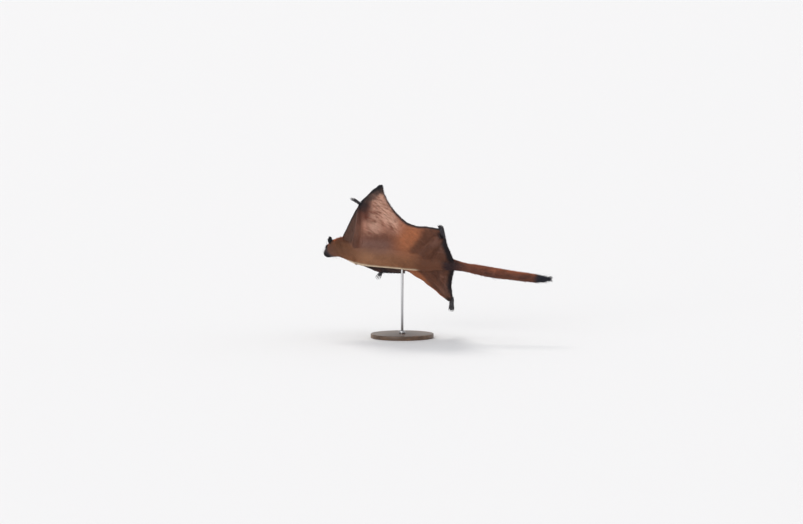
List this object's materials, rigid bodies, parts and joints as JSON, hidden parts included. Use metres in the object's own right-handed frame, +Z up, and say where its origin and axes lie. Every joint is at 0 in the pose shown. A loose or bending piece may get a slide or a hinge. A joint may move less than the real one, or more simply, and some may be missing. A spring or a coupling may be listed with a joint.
{
  "type": "flying squirrel",
  "caption": "Life-size gliding flying squirrel with spread membranes, banked and still, carried by a short rod on a plain round display stand.",
  "frame": {"origin": "centre of the flat underside of the stand's round base", "axes": "+Z up, -Y the way the animal glides and its nose points, +X towards its left side before it banks"},
  "size_m": [0.4585, 0.8431, 0.5494],
  "materials": {
    "coat": "dense short fur, orange-rust above, tan-brown below",
    "dark_coat": "near-black fur and bare pads",
    "membrane": "thin furred gliding membrane",
    "eye": "wet dark gloss",
    "stand_wood": "satin",
    "stand_steel": "satin"
  },
  "bodies": {
    "root": {"head": "coat", "neck": "coat", "trunk": "coat", "tail_base": "coat", "tail_middle": "coat", "tail_tip": "dark_coat", "eye_left": "eye", "ear_left": "dark_coat", "upper_arm_left": "coat", "forearm_left": "coat", "hand_left": "dark_coat", "spur_left": "dark_coat", "thigh_left": "coat", "shank_left": "coat", "foot_left": "dark_coat", "propatagium_left": "membrane", "plagiopatagium_left": "membrane", "uropatagium_left": "membrane", "eye_right": "eye", "ear_right": "dark_coat", "upper_arm_right": "coat", "forearm_right": "coat", "hand_right": "dark_coat", "spur_right": "dark_coat", "thigh_right": "coat", "shank_right": "coat", "foot_right": "dark_coat", "propatagium_right": "membrane", "plagiopatagium_right": "membrane", "uropatagium_right": "membrane", "stand_base": "stand_wood", "stand_rod": "stand_steel", "stand_collar": "stand_steel"}
  },
  "joints": []
}
